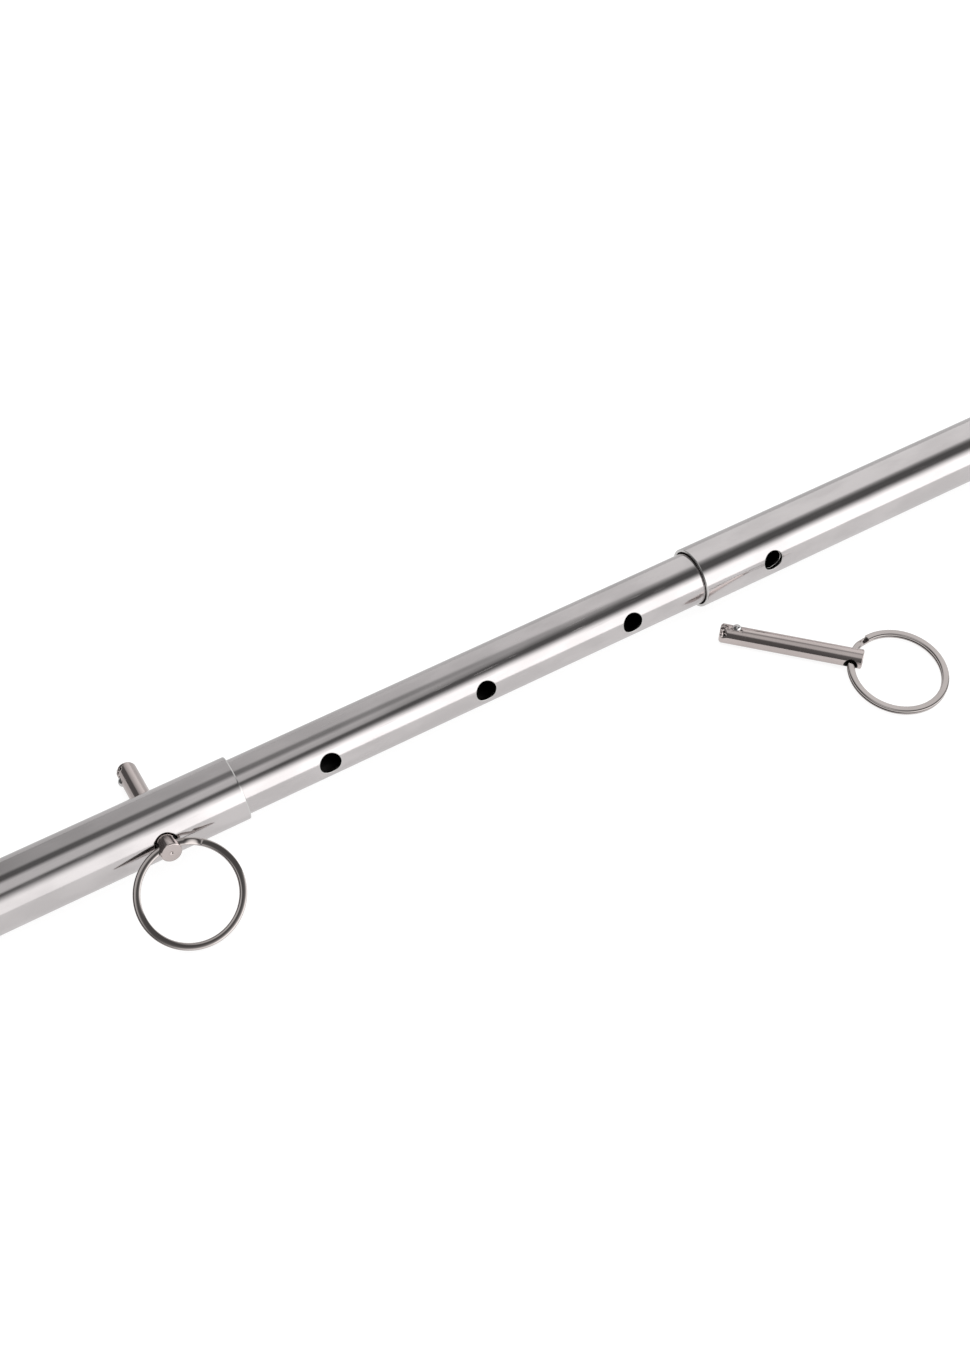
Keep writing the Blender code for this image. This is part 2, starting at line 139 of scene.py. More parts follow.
def smooth_by_area(mesh):
    """Each point's normal is the sum of its faces' normals, each times the face's area.

    Wide flat faces then stay flat, and the narrow faces of a rounded edge do the turning.
    """
    count = len(mesh.polygons)
    normals = np.empty(count * 3)
    areas = np.empty(count)
    sides = np.empty(count, int)
    corners = np.empty(len(mesh.loops), int)
    mesh.polygons.foreach_get("normal", normals)
    mesh.polygons.foreach_get("area", areas)
    mesh.polygons.foreach_get("loop_total", sides)
    mesh.loops.foreach_get("vertex_index", corners)
    weighted = normals.reshape(-1, 3) * areas[:, None]
    total = np.zeros((len(mesh.vertices), 3))
    np.add.at(total, corners, np.repeat(weighted, sides, axis=0))
    mesh.shade_smooth()
    mesh.normals_split_custom_set_from_vertices(unit(total).tolist())


def add_piece(name, surface, material, body, slot, *replaced):
    """A mesh object for the surface, which stands for CAD nodes and rides on their body."""
    mesh = bpy.data.meshes.new(name)
    mesh.from_pydata(surface.points.tolist(), [], corner_lists(surface.quads))
    shape = bmesh.new()
    shape.from_mesh(mesh)
    bmesh.ops.recalc_face_normals(shape, faces=shape.faces)
    open_edges = sum(not edge.is_manifold for edge in shape.edges)
    shape.to_mesh(mesh)
    shape.free()
    grain = mesh.attributes.new("grain", "FLOAT_VECTOR", "POINT")
    grain.data.foreach_set("vector", surface.grain.ravel())
    for column, mark in enumerate(("edge", "bore")):
        attribute = mesh.attributes.new(mark, "FLOAT", "POINT")
        attribute.data.foreach_set("value", surface.marks[:, column])
    smooth_by_area(mesh)
    mesh.materials.append(material)
    piece = bpy.data.objects.new(name, mesh)
    bpy.context.scene.collection.objects.link(piece)
    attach(piece, body)
    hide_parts(*replaced)
    print(name, len(mesh.polygons), "faces,", open_edges, "open edges")
    return piece


# %% [markdown]
# ## Shader maths in plain Python
# A finish is a sum of small effects: lines left by polishing, scratches, worn rims. Written as
# expressions they stay readable. The class below wraps one output of a node, and an operator on it
# adds the Math node that does the sum.

# %% Shader helpers
class Value:
    """One node output. +, - and * on it add Math nodes, with either side a number."""

    def __init__(self, graph, socket):
        self.graph = graph
        self.socket = socket

    def __add__(self, other):
        return self.graph.maths("ADD", self, other)

    def __radd__(self, other):
        return self.graph.maths("ADD", other, self)

    def __sub__(self, other):
        return self.graph.maths("SUBTRACT", self, other)

    def __rsub__(self, other):
        return self.graph.maths("SUBTRACT", other, self)

    def __mul__(self, other):
        return self.graph.maths("MULTIPLY", self, other)

    def __rmul__(self, other):
        return self.graph.maths("MULTIPLY", other, self)


class Graph:
    """A node tree that is being filled."""

    def __init__(self, tree):
        self.tree = tree
        tree.nodes.clear()

    def node(self, kind, settings=None, inputs=None, output=0):
        """Any node: its settings first, then the values or links of its sockets."""
        made = self.tree.nodes.new(kind)
        for name, value in (settings or {}).items():
            setattr(made, name, value)
        for name, value in (inputs or {}).items():
            if isinstance(value, Value):
                self.tree.links.new(value.socket, made.inputs[name])
            else:
                made.inputs[name].default_value = value
        return Value(self, made.outputs[output]) if made.outputs else made

    def maths(self, operation, first, second):
        return self.node("ShaderNodeMath", {"operation": operation}, {0: first, 1: second})

    def ramp(self, value, low, high):
        """0 below low and 1 above high, with a soft step between them."""
        inputs = {"Value": value, "From Min": low, "From Max": high}
        return self.node("ShaderNodeMapRange", {"interpolation_type": "SMOOTHSTEP"}, inputs)

    def noise(self, where, scale, detail=2.0, seed=(0.0, 0.0, 0.0)):
        """Noise with its own scale along each axis, in cells to the metre."""
        inputs = {"Vector": where, "Scale": scale, "Location": seed}
        spread = self.node("ShaderNodeMapping", {}, inputs)
        return self.node("ShaderNodeTexNoise", {}, {"Vector": spread, "Scale": 1.0, "Detail": detail})

    def mix(self, share, first, second):
        """Blends two colours."""
        made = self.tree.nodes.new("ShaderNodeMix")
        made.data_type = "RGBA"
        for socket, value in zip((made.inputs[0], made.inputs[6], made.inputs[7]), (share, first, second)):
            if isinstance(value, Value):
                self.tree.links.new(value.socket, socket)
            else:
                socket.default_value = value
        return Value(self, made.outputs[2])


# %% [markdown]
# ## Finishes
# Every piece is bare or nickel-plated steel, so one recipe serves them all. What changes is the
# tint, how sharp the reflection is, and which way the polishing lines run: along a drawn tube or
# wire, round a turned part. The grain attribute tells the recipe which way is along. Bores, deep
# dents and the groove of a split ring are made dull and get a painted shade, near black, and rims
# are rubbed brighter than the rest.

# %% The steel recipe
# Near black: painted shade for the insides of holes, deep dents and a split ring's groove.
PAINTED_SHADE = (0.045, 0.042, 0.04, 1.0)
WORN_EDGE = (0.66, 0.65, 0.64, 1.0)


def steel(name, tint, roughness, lines_along, line_depth=0.3, clouds=0.05, scratches=0.5, seed=0.0):
    """Polished steel. lines_along is True for a drawn piece, and False for a turned one."""
    material = bpy.data.materials.new(name)
    material.use_nodes = True
    graph = Graph(material.node_tree)
    grain = graph.node("ShaderNodeAttribute", {"attribute_name": "grain"}, output="Vector")
    edge = graph.node("ShaderNodeAttribute", {"attribute_name": "edge"}, output="Fac")
    bore = graph.node("ShaderNodeAttribute", {"attribute_name": "bore"}, output="Fac")
    line_scale = (35.0, 3200.0, 3200.0) if lines_along else (5200.0, 160.0, 160.0)
    scratch_scale = (60.0, 1500.0, 1500.0) if lines_along else (900.0, 70.0, 70.0)
    lines = graph.noise(grain, line_scale, 3.0, (seed, 0.0, 0.0))
    cloud = graph.noise(grain, (38.0, 90.0, 90.0), 3.0, (0.0, seed, 0.0))
    scratch = graph.ramp(graph.noise(grain, scratch_scale, 1.0, (0.0, 0.0, seed)), 0.67, 0.73)
    pale = tuple(min(channel * (1 + clouds), 1.0) for channel in tint)
    deep = tuple(channel * (1 - clouds) for channel in tint)
    skin = graph.mix(graph.ramp(cloud, 0.35, 0.65), (*deep, 1.0), (*pale, 1.0))
    rubbed = graph.mix(graph.ramp(edge + 0.3 * lines, 0.75, 1.15), skin, WORN_EDGE)
    # Painted shade: the bore mark turns the colour near black, and it also makes the surface rougher.
    painted_shade_share = graph.ramp(bore, 0.3, 0.9)
    colour = graph.mix(painted_shade_share, rubbed, PAINTED_SHADE)
    gloss = roughness * (0.75 + 0.5 * lines) + 0.05 * (cloud - 0.5) + 0.12 * scratches * scratch
    height = lines + 0.6 * scratches * scratch
    bump = graph.node(
        "ShaderNodeBump", {}, {"Strength": line_depth, "Distance": 0.004 * MM, "Height": height}, "Normal"
    )
    inputs = {
        "Base Color": colour,
        "Metallic": 1.0,
        "Roughness": gloss + 0.35 * painted_shade_share,
        "Normal": bump,
    }
    surface = graph.node("ShaderNodeBsdfPrincipled", {}, inputs)
    graph.node("ShaderNodeOutputMaterial", {}, {"Surface": surface})
    return material


outer_steel = steel("outer_tube_polish", (0.605, 0.575, 0.575), 0.11, True, 0.5, scratches=0.8)
inner_steel = steel("inner_tube_polish", (0.59, 0.56, 0.56), 0.13, True, 0.6, scratches=1.2, seed=3.0)
pin_steel = steel("pin_ground", (0.57, 0.505, 0.49), 0.12, False, 0.3, seed=5.0)
ring_steel = steel("ring_nickel", (0.53, 0.485, 0.47), 0.06, True, 0.15, seed=7.0)
ball_steel = steel("ball_hard_polish", (0.66, 0.65, 0.65), 0.05, True, 0.05, scratches=0.0)
spring_steel = steel("spring_wire", (0.42, 0.41, 0.42), 0.25, True, 0.3, seed=9.0)
end_steel = steel("end_turned_satin", (0.58, 0.575, 0.57), 0.24, False, 0.8, seed=11.0)
round_bar_steel = steel("round_bar_polish", (0.61, 0.60, 0.595), 0.12, True, 0.4, seed=13.0)
fastener_steel = steel("fastener_plain", (0.52, 0.515, 0.51), 0.28, False, 0.8, seed=15.0)
print("finishes", len(bpy.data.materials))

# %% [markdown]
# ## Camera, floor and light
# Polished metal shows its surroundings more than itself. A studio tent is built as a sky of soft
# bands: a broad white panel low in front, a narrower strip near overhead, a dark gap between them
# where the camera stands, and pale grey cloth behind. The backdrop and the floor are plain white to
# the camera. In the metal they are not: it mirrors the tent, and a floor that glows less. A wide
# soft lamp overhead lights the floor and isn't mirrored.

# %% Camera
VIEW_HEADING = radians(27.52)
VIEW_TILT = radians(53.34)
VIEW_ROLL = radians(-2.2)
VIEW_PLACE = (-0.16696, -0.30176, 0.50834)
# In millimetres, as a lens is marked.
LENS_LENGTH = 41.31
SENSOR_WIDTH = 36.0


def camera_axes(heading, tilt, roll):
    """Right, up and back of a camera that looks along a heading from +Y, tilted down and rolled."""
    forward = np.array([sin(heading) * cos(tilt), cos(heading) * cos(tilt), -sin(tilt)])
    level = np.array([cos(heading), -sin(heading), 0.0])
    upright = np.cross(level, forward)
    right = cos(roll) * level + sin(roll) * upright
    up = -sin(roll) * level + cos(roll) * upright
    return right, up, -forward


camera_data = bpy.data.cameras.new("camera")
camera_data.lens = LENS_LENGTH
camera_data.sensor_width = SENSOR_WIDTH
camera_data.clip_start = 0.01
camera_data.clip_end = 50.0
camera = bpy.data.objects.new("camera", camera_data)
stand = np.eye(4)
stand[:3, :3] = np.stack(camera_axes(VIEW_HEADING, VIEW_TILT, VIEW_ROLL), axis=1)
stand[:3, 3] = VIEW_PLACE
camera.matrix_world = Matrix(stand.tolist())
bpy.context.scene.collection.objects.link(camera)
bpy.context.scene.camera = camera
bpy.context.scene.view_settings.view_transform = "Standard"
print("camera at", VIEW_PLACE)

# %% Studio tent
FLOOR_HALF = 6.0
FLOOR_PAINT = (0.3, 0.3, 0.3, 1.0)
FLOOR_GLOW = 0.85
# The share of the glow that reflections miss, and what more they miss behind the bar.
FLOOR_LOSS = 0.29
FLOOR_LOSS_BEHIND = 0.3
BACKDROP_WHITE = (1.0, 1.0, 1.0, 1.0)
BACKDROP_LEVEL = 1.05
PANEL_LEVEL = 2.1
STRIP_LEVEL = 0.72
CLOTH_LEVEL = 0.45
HAZE_LEVEL = 1.3
GAP_LEVEL = 0.14
LAMP_SIDE = 3.0
LAMP_POWER = 45.0
LAMP_PLACE = (0.5, 0.3, 2.5)


def studio_world():
    """Brightness as a function of the angle about X, from 0 level in front over 90 straight up.

    along is how far a direction points along the bar, from -1 to 1. Each band is a soft-edged
    range of the angle times a soft-edged range of along. The camera sees the plain backdrop.
    """
    world = bpy.data.worlds.new("studio_tent")
    bpy.context.scene.world = world
    world.use_nodes = True
    graph = Graph(world.node_tree)
    toward = graph.node("ShaderNodeTexCoord", output="Generated")
    split = graph.node("ShaderNodeSeparateXYZ", {}, {"Vector": toward})
    along, across, height = (Value(graph, split.socket.node.outputs[i]) for i in range(3))
    angle = graph.maths("ARCTAN2", height, -1.0 * across) * degrees(1.0)
    panel = graph.ramp(angle, -6.0, 2.0) * (1.0 - graph.ramp(angle - 8.0 * along, 30.0, 62.0))
    panel = panel * (0.7 * graph.ramp(along, -0.6, -0.1) + 0.3 * graph.ramp(along, 0.0, 0.12))
    strip = graph.ramp(angle - 40.0 * along, 62.0, 71.0) * (1.0 - graph.ramp(angle, 89.0, 105.0))
    strip = strip * graph.ramp(along, -0.45, -0.25) * (1.0 - graph.ramp(along, 0.08, 0.42))
    reach = graph.maths("MINIMUM", graph.maths("MAXIMUM", along, 0.0), 0.45)
    haze = reach * graph.ramp(angle, 80.0, 104.0)
    cloth_foot = 121.0 - 24.0 * graph.ramp(along, 0.15, 0.5)
    cloth = graph.ramp(angle - cloth_foot, -6.0, 6.0) * graph.ramp(along, -0.14, 0.0)
    light = PANEL_LEVEL * panel + STRIP_LEVEL * strip + HAZE_LEVEL * haze + CLOTH_LEVEL * cloth + GAP_LEVEL
    glow = graph.node("ShaderNodeBackground", {}, {"Strength": light})
    plain = graph.node("ShaderNodeBackground", {}, {"Color": BACKDROP_WHITE, "Strength": BACKDROP_LEVEL})
    seen = graph.node("ShaderNodeLightPath", output="Is Camera Ray")
    both = graph.node("ShaderNodeMixShader", {}, {0: seen, 1: glow, 2: plain})
    graph.node("ShaderNodeOutputWorld", {}, {"Surface": both})


def floor_plane():
    """A floor whose glow is full to the camera and less in reflections, least behind the bar."""
    mesh = bpy.data.meshes.new("floor")
    corners = FLOOR_HALF * np.array([(-1, -1, 0), (1, -1, 0), (1, 1, 0), (-1, 1, 0)], float)
    mesh.from_pydata(corners.tolist(), [], [(0, 1, 2, 3)])
    material = bpy.data.materials.new("floor_white")
    material.use_nodes = True
    graph = Graph(material.node_tree)
    paint = graph.node("ShaderNodeBsdfDiffuse", {}, {"Color": FLOOR_PAINT})
    place = graph.node("ShaderNodeNewGeometry", output="Position")
    depth = graph.node("ShaderNodeSeparateXYZ", {}, {"Vector": place}, "Y")
    seen = graph.node("ShaderNodeLightPath", output="Is Camera Ray")
    loss = FLOOR_LOSS + FLOOR_LOSS_BEHIND * graph.ramp(depth, 0.04, 0.09)
    share = 1.0 - (1.0 - seen) * loss
    glow = graph.node("ShaderNodeEmission", {}, {"Strength": FLOOR_GLOW * share})
    both = graph.node("ShaderNodeAddShader", {}, {0: paint, 1: glow})
    graph.node("ShaderNodeOutputMaterial", {}, {"Surface": both})
    mesh.materials.append(material)
    plane = bpy.data.objects.new("floor", mesh)
    bpy.context.scene.collection.objects.link(plane)


def top_lamp():
    """A wide soft lamp that the metal doesn't mirror, so that it only whitens the floor."""
    data = bpy.data.lights.new("top_lamp", "AREA")
    data.shape = "RECTANGLE"
    data.size = LAMP_SIDE
    data.size_y = LAMP_SIDE
    data.energy = LAMP_POWER
    lamp = bpy.data.objects.new("top_lamp", data)
    lamp.location = LAMP_PLACE
    lamp.visible_glossy = False
    bpy.context.scene.collection.objects.link(lamp)


studio_world()
floor_plane()
top_lamp()
print("lights", len(bpy.data.lights))

# %% [markdown]
# ## Profiles, and drilled holes
# A turned part is a profile spun round its axis. A sharp profile looks like a drawing, so each
# corner is replaced by a short curve. A drilled hole is a square window left out of the grid and
# filled with a sleeve: rows that change from the window's outline to the hole's rim, roll over the
# rim, and go down the wall. The mesh stays made of neat quads.

# %% Profiles
def rounded(corners, radius, steps=5, closed=False):
    """Each corner becomes a curve between two points at most radius from it on its two sides.

    The curve weighs the first point by (1 - t) squared, the corner by 2t(1 - t) and the last by t
    squared. It returns one row of points for each corner.
    """
    corners = np.asarray(corners, float)
    before = np.roll(corners, 1, axis=0) - corners
    after = np.roll(corners, -1, axis=0) - corners
    reach = np.broadcast_to(radius, len(corners))[:, None]
    ends = []
    for arm in (before, after):
        length = np.linalg.norm(arm, axis=1, keepdims=True)
        ends.append(corners + arm / length * np.minimum(reach, 0.45 * length))
    t = np.linspace(0, 1, steps)[None, :, None]
    curves = (1 - t) ** 2 * ends[0][:, None] + 2 * t * (1 - t) * corners[:, None] + t**2 * ends[1][:, None]
    if not closed:
        curves[0] = corners[0]
        curves[-1] = corners[-1]
    return curves


def spun(radius, height, angle):
    """Points at a radius, a height and an angle about local Z."""
    radius, height, angle = np.broadcast_arrays(radius, height, angle)
    return np.stack([radius * np.cos(angle), radius * np.sin(angle), height], axis=-1)


def circle(sides):
    return 2 * pi * np.arange(sides) / sides


def turned(corners, radius, closed=False, sides=96, steps=5):
    """A profile of (radius, height) corners, rounded and spun round local Z."""
    curves = rounded(corners, radius, steps, closed)
    profile = curves.reshape(-1, 2)
    if not closed:
        profile = np.concatenate([curves[:1, 0], curves[1:-1].reshape(-1, 2), curves[-1:, 0]])
    points = spun(profile[:, :1], profile[:, 1:], circle(sides)[None, :])
    return joined(grid(points, wrap_rows=closed))


# %% Drilled holes
Hole = namedtuple("Hole", "height angle radius half_height columns lip")


def window_lines(hole, count=17):
    """The heights of the grid rows that cross a hole's window."""
    return np.linspace(hole.height - hole.half_height, hole.height + hole.half_height, count)


def window_cut(heights, angles, hole):
    """True for the quads inside the window."""
    step = angles[1] - angles[0]
    middle = (heights + np.roll(heights, -1)) / 2
    rows = np.abs(middle - hole.height) < hole.half_height
    away = (angles + step / 2 - hole.angle + pi) % (2 * pi) - pi
    columns = np.abs(away) < hole.columns * step
    return rows[:, None] & columns[None, :]


def window_outline(hole, step):
    """Heights and angles once round the window."""
    heights = window_lines(hole)
    angles = hole.angle + step * np.arange(-hole.columns, hole.columns + 1)
    low, high = np.full(len(angles) - 1, heights[0]), np.full(len(angles) - 1, heights[-1])
    first, last = np.full(len(heights) - 1, angles[0]), np.full(len(heights) - 1, angles[-1])
    around_height = np.concatenate([heights[:-1], high, heights[:0:-1], low])
    around_angle = np.concatenate([first, angles[:-1], last, angles[:0:-1]])
    return around_height, around_angle


def mouth_rows(hole, radius, step, inward=1.0, spread=6, roll=5):
    """Rows from the window to the hole's rim on a cylinder, then over the rim's rounded lip.

    On the cylinder, height and angle go in a straight line from the outline to the rim. Over the
    lip, the hole narrows by lip times (1 - sin a) and the surface sinks by lip times (1 - cos a).
    """
    height, angle = window_outline(hole, step)
    phase = np.arctan2(radius * np.sin(angle - hole.angle), height - hole.height)
    rim = hole.radius + hole.lip
    rim_height = hole.height + rim * np.cos(phase)
    rim_angle = hole.angle + np.arcsin(rim * np.sin(phase) / radius)
    t = np.linspace(0, 1, spread + 1)[:, None]
    flat = spun(radius, (1 - t) * height + t * rim_height, (1 - t) * angle + t * rim_angle)
    a = np.linspace(0, pi / 2, roll + 1)[1:, None]
    narrow = hole.radius + hole.lip * (1 - np.sin(a))
    sunk = radius - inward * hole.lip * (1 - np.cos(a))
    over_angle = hole.angle + np.arcsin(narrow * np.sin(phase) / sunk)
    lip = spun(sunk, hole.height + narrow * np.cos(phase), over_angle)
    edge = np.concatenate([np.zeros(spread), [0.6], np.full(roll, 1.0)])
    return np.concatenate([flat, lip]), edge


# %% [markdown]
# ## The tubes
# Drawn tube has a constant wall, so its profile is a long thin loop with four rounded corners. The
# inner tube has five pairs of cross holes. Each outer tube has one pair for the pin and one pair
# for the rivets of its end plug. The rims of the holes are deburred, which leaves a narrow bright
# lip round each hole. The tubes' insides are painted near black as shade.

# %% Tube surface
TUBE_SIDES = 100
TUBE_STEP = 2 * pi / TUBE_SIDES
WALL = 1.2 * MM
PIN_HOLE_RADIUS = 4.3 * MM
RIVET_HOLE_RADIUS = 2.3 * MM
RIVET_FROM_END = 7.5 * MM
RIVET_ANGLE = radians(72.0)
PIN_LINE = unit(joints["left_pin_pull"]["axis"])


def pin_holes(height):
    return [Hole(height, angle, PIN_HOLE_RADIUS, 6.5 * MM, 8, 0.35 * MM) for angle in (0.0, pi)]


def rivet_holes(height):
    angles = (-RIVET_ANGLE, pi - RIVET_ANGLE)
    return [Hole(height, angle, RIVET_HOLE_RADIUS, 4.5 * MM, 6, 0.15 * MM) for angle in angles]


def tube_surface(radius, length, holes, spacing=12 * MM):
    """A tube from height 0 to length, with sleeves for its holes."""
    inner = radius - WALL
    corners = [(radius, 0), (radius, length), (inner, length), (inner, 0)]
    curves = rounded(corners, 0.42 * MM, 6, closed=True)
    plain = np.arange(3 * MM, length - 3 * MM, spacing)
    plain = np.concatenate([[0.7 * MM, 1.4 * MM], plain, [length - 1.4 * MM, length - 0.7 * MM]])
    near = [np.abs(plain - hole.height) < hole.half_height + 2 * MM for hole in holes]
    plain = plain[~np.any(near, axis=0)]
    lines = np.unique(np.concatenate([plain, *[window_lines(hole) for hole in holes]]))
    outside = np.stack([np.full(len(lines), radius), lines], axis=1)
    inside = np.stack([np.full(len(lines), inner), lines[::-1]], axis=1)
    profile = np.concatenate([curves[0], outside, curves[1], curves[2], inside, curves[3]])
    rim = np.ones(6)
    edge = np.concatenate([rim, 0 * lines, rim, rim, 0 * lines, rim])
    # The bore mark paints the tube's inside near black as shade.
    bore = np.concatenate([0 * rim, 0 * lines, 0 * rim, 0 * rim, 0 * lines + 1, 0 * rim])
    angles = circle(TUBE_SIDES)
    cut = np.any([window_cut(profile[:, 1], angles, hole) for hole in holes], axis=0)
    points = spun(profile[:, :1], profile[:, 1:], angles[None, :])
    parts = [grid(points, edge, bore, wrap_rows=True, cut=cut)]
    for hole in holes:
        outer_rows, outer_edge = mouth_rows(hole, radius, TUBE_STEP)
        inner_rows, inner_edge = mouth_rows(hole, inner, TUBE_STEP, -1.0)
        rows = np.concatenate([outer_rows, inner_rows[::-1]])
        # Rows on the tube's inside get the bore mark, so each hole's wall fades into the painted near-black
        # shade.
        deep = np.concatenate([0 * outer_edge, 0 * inner_edge + 1])
        parts.append(grid(rows, np.concatenate([outer_edge, 0 * inner_edge]), deep))
    return joined(*parts)


def add_tube(name, material, body, slot, hole_list):
    """A tube in place: its ends and radius come from the CAD node's box."""
    low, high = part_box(name)
    centre = (low + high) / 2
    start = (low.x, centre.y, centre.z)
    holes = [hole for make, x in hole_list for hole in make(x - low.x)]
    surface = tube_surface((high.z - low.z) / 2, high.x - low.x, holes)
    surface = placed(surface, start, (1, 0, 0), PIN_LINE)
    return add_piece(name + "_steel", surface, material, body, slot, name)


# %% Three tubes
HOLE_PITCH = 67 * MM
pinned_x = joints["left_ring_swing"]["pos_m"][0]
hole_xs = pinned_x + HOLE_PITCH * np.arange(5)
left_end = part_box("left_outer_tube")[0].x + RIVET_FROM_END
right_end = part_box("right_outer_tube")[1].x - RIVET_FROM_END
add_tube("inner_tube", inner_steel, "bar", "inner_tube_steel", [(pin_holes, x) for x in hole_xs])
add_tube(
    "left_outer_tube", outer_steel, "bar", "outer_tube_steel",
    [(rivet_holes, left_end), (pin_holes, hole_xs[0])],
)
add_tube(
    "right_outer_tube", outer_steel, "right_tube", "outer_tube_steel",
    [(pin_holes, hole_xs[-1]), (rivet_holes, right_end)],
)

# %% [markdown]
# ## The pins
# Each pin is a ground rod with a flat head, a centre-drill dimple, a cross hole for its ring, and a
# side hole near its tip for a ball on a spring. The side hole's lip is peened over the ball, so
# the lip follows the ball's outline a hair away from it. The peening leaves dents near the tip.

# %% Pin surface
PIN_RADIUS = 4 * MM
PIN_LENGTH = 58 * MM
PIN_SIDES = 80
PIN_STEP = 2 * pi / PIN_SIDES
CROSS_HEIGHT = PIN_LENGTH - 4.4 * MM
BALL_HEIGHT = 6.5 * MM
BALL_RADIUS = 2 * MM
BALL_CENTRE = 3 * MM
BALL_PLAY = 0.1 * MM
BORE_RADIUS = 2.25 * MM
BORE_FLOOR = -3.1 * MM
# The depth scale past which a dent gets painted shade.
DENT_SHADE_DEPTH = 0.2 * MM
PUNCH_AWAY = 2.55 * MM
PUNCH_ANGLE = 0.62


def peened_radius(phase, rounds=8):
    """How wide the lip is in each direction: the ball's width where the lip meets it, plus a gap."""
    wide = np.full_like(phase, BALL_RADIUS)
    for _ in range(rounds):
        out = np.sqrt(PIN_RADIUS**2 - (wide * np.sin(phase)) ** 2)
        wide = np.sqrt(BALL_RADIUS**2 - np.clip(out - BALL_CENTRE, 0, None) ** 2) + BALL_PLAY
    return wide


def bore_rows(hole, phase, steps):
    """Rings down a hole: each at a distance out from the pin's axis, with its own radius."""
    out, wide = (np.array(column)[:, None] for column in zip(*steps))
    outward = np.array([cos(hole.angle), sin(hole.angle), 0])
    sideways = np.array([-sin(hole.angle), cos(hole.angle), 0])
    upward = np.array([0, 0, 1])
    rings = out[..., None] * outward + (wide * np.sin(phase))[..., None] * sideways
    return rings + (hole.height + wide * np.cos(phase))[..., None] * upward


def dented(points, dents):
    """Points of the barrel pushed in by dents of (height, angle, size, depth), each a bell shape.

    It also says where the push is deep enough for a dark shade to be painted in the dent.
    """
    height, angle, size, depth = (column[None, :] for column in np.asarray(dents).T)
    radius = np.hypot(points[:, 0], points[:, 1])[:, None]
    around = np.arctan2(points[:, 1], points[:, 0])[:, None]
    away = PIN_RADIUS * ((around - angle + pi) % (2 * pi) - pi)
    apart = (points[:, 2:] - height) ** 2 + away**2
    push = (depth * np.exp(-apart / (2 * size**2))).sum(axis=1)
    push *= np.clip((radius[:, 0] - 0.75 * PIN_RADIUS) / (0.2 * PIN_RADIUS), 0, 1)
    moved = points.copy()
    moved[:, :2] *= (1 - push / np.maximum(radius[:, 0], MM))[:, None]
    return moved, np.clip(push / DENT_SHADE_DEPTH - 1.2, 0, 1)


def pin_surface(ball_angle, dents):
    """A pin from its tip at height 0 to its head, with its cross hole along local X."""
    cross = Hole(CROSS_HEIGHT, 0.0, 2.5 * MM, 3.5 * MM, 14, 0.45 * MM)
    far = cross._replace(angle=pi)
    ball = Hole(BALL_HEIGHT, ball_angle, BALL_RADIUS, 3.2 * MM, 11, 0.12 * MM)
    height, angle = window_outline(ball, PIN_STEP)
    phase = np.arctan2(PIN_RADIUS * np.sin(angle - ball_angle), height - BALL_HEIGHT)
    ball = ball._replace(radius=peened_radius(phase))
    tip = rounded([(0, 0), (3.25 * MM, 0), (PIN_RADIUS, 0.8 * MM), (PIN_RADIUS, 2 * MM)], 0.3 * MM)
    head = rounded(
        [(PIN_RADIUS, 57 * MM), (PIN_RADIUS, 57.65 * MM), (3.65 * MM, PIN_LENGTH),
         (0.7 * MM, PIN_LENGTH), (0, PIN_LENGTH - 0.7 * MM)], 0.14 * MM,
    )
    tip = np.concatenate([tip[:1, 0], tip[1:-1].reshape(-1, 2)])
    head = np.concatenate([head[1:-1].reshape(-1, 2), head[-1:, 0]])
    fine = np.arange(1.3, 3.3, 0.15) * MM
    lines = np.concatenate([fine, window_lines(ball), np.arange(12, 49, 4) * MM, window_lines(cross)])
    lines = np.unique(lines)
    barrel = np.stack([np.full(len(lines), PIN_RADIUS), lines], axis=1)
    profile = np.concatenate([tip, barrel, head])
    angles = circle(PIN_SIDES)
    points = spun(profile[:, :1], profile[:, 1:], angles[None, :])
    holes = (cross, far, ball)
    cut = np.any([window_cut(profile[:, 1], angles, hole) for hole in holes], axis=0)[:-1]
    edge = np.concatenate([0 * tip[:, 0] + 0.6, 0 * lines, 0 * head[:, 0] + 0.3])
    parts = [grid(points, edge, cut=cut)]
    near_rows, near_edge = mouth_rows(cross, PIN_RADIUS, PIN_STEP)
    far_rows = near_rows[::-1] * (-1, 1, 1)
    through = np.concatenate([near_rows, far_rows])
    # The cross hole's wall gets the bore mark: painted shade, near black.
    deep = np.concatenate([near_edge > 0.9, near_edge[::-1] > 0.9]).astype(float)
    parts.append(grid(through, 0.5 * deep, deep))
    mouth, mouth_edge = mouth_rows(ball, PIN_RADIUS, PIN_STEP)
    steps = [(2.75 * MM, BORE_RADIUS), (0, BORE_RADIUS), (-2.9 * MM, BORE_RADIUS),
             (BORE_FLOOR, BORE_RADIUS - 0.2 * MM), (BORE_FLOOR, 0)]
    well = bore_rows(ball, phase, steps)
    rows = np.concatenate([mouth, well])
    # The ball's well gets the bore mark: painted shade, near black.
    deep = np.concatenate([0 * mouth_edge, np.ones(len(well))])
    parts.append(grid(rows, np.concatenate([0.8 * mouth_edge, 0 * deep[: len(well)]]), deep))
    whole = joined(*parts)
    # Deep dents join the bore mark: painted shade, near black.
    points, dent_shade = dented(whole.points, dents)
    whole.marks[:, 1] = np.maximum(whole.marks[:, 1], dent_shade)
    return whole._replace(points=points)


